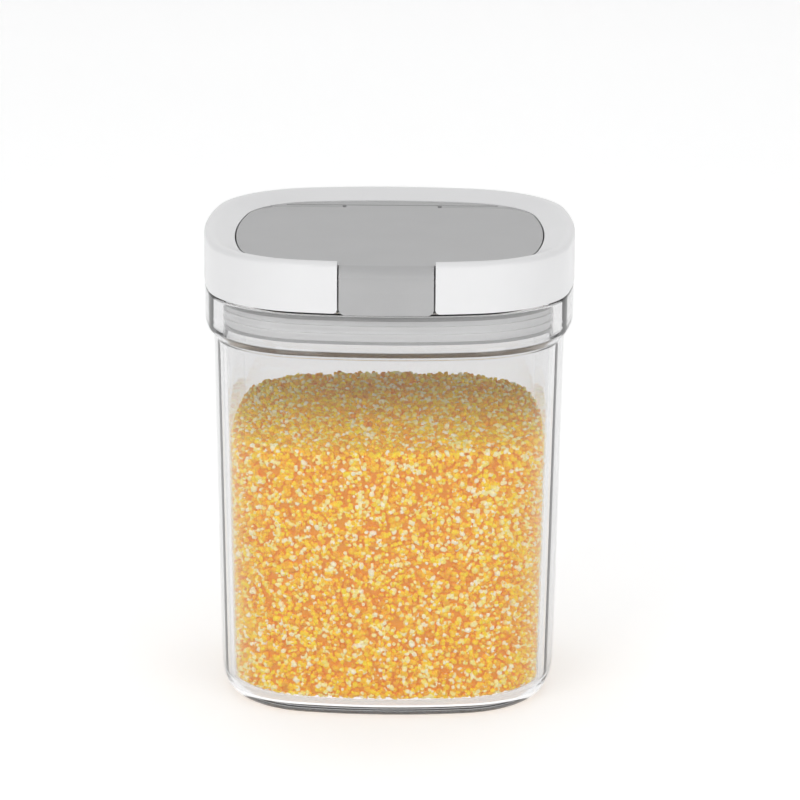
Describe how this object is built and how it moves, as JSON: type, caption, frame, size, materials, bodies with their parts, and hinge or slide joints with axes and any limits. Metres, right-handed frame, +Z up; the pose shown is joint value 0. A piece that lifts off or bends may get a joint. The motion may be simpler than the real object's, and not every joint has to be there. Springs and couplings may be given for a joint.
{
  "type": "milk powder container",
  "caption": "Clear rounded-square canister with a white-ringed lift-off lid and a grey flip cover over its pour opening.",
  "frame": {"origin": "middle of the base, on the surface the container stands on", "axes": "+Z up; the flip cover's tab is on -Y and its hinge on +Y; +X is to the right seen from the tab's side"},
  "size_m": [0.12, 0.12, 0.1512],
  "materials": {
    "canister_clear": "clear moulded plastic, polished",
    "ring_white": "satin white",
    "lid_grey": "satin mid grey",
    "cover_grey": "satin mid grey",
    "pin_steel": "bright",
    "seal_silicone": "translucent white silicone",
    "corn_grits": "loose dry grains, only in the rendered scene"
  },
  "bodies": {
    "canister": {"canister_body": "canister_clear"},
    "lid": {"lid_ring": "ring_white", "inner_lid": "lid_grey", "hinge_pin": "pin_steel", "lid_gasket": "seal_silicone"},
    "cover": {"flip_cover": "cover_grey", "cover_seal": "seal_silicone"}
  },
  "joints": [
    {"name": "lid_lift", "type": "slide", "parent": "canister", "child": "lid", "axis": [0, 0, 1], "range_m": [0, 0.16]},
    {"name": "cover_hinge", "type": "hinge", "parent": "lid", "child": "cover", "pos_m": [0, 0.0412, 0.146], "axis": [-1, 0, 0], "range_deg": [0, 95]}
  ]
}
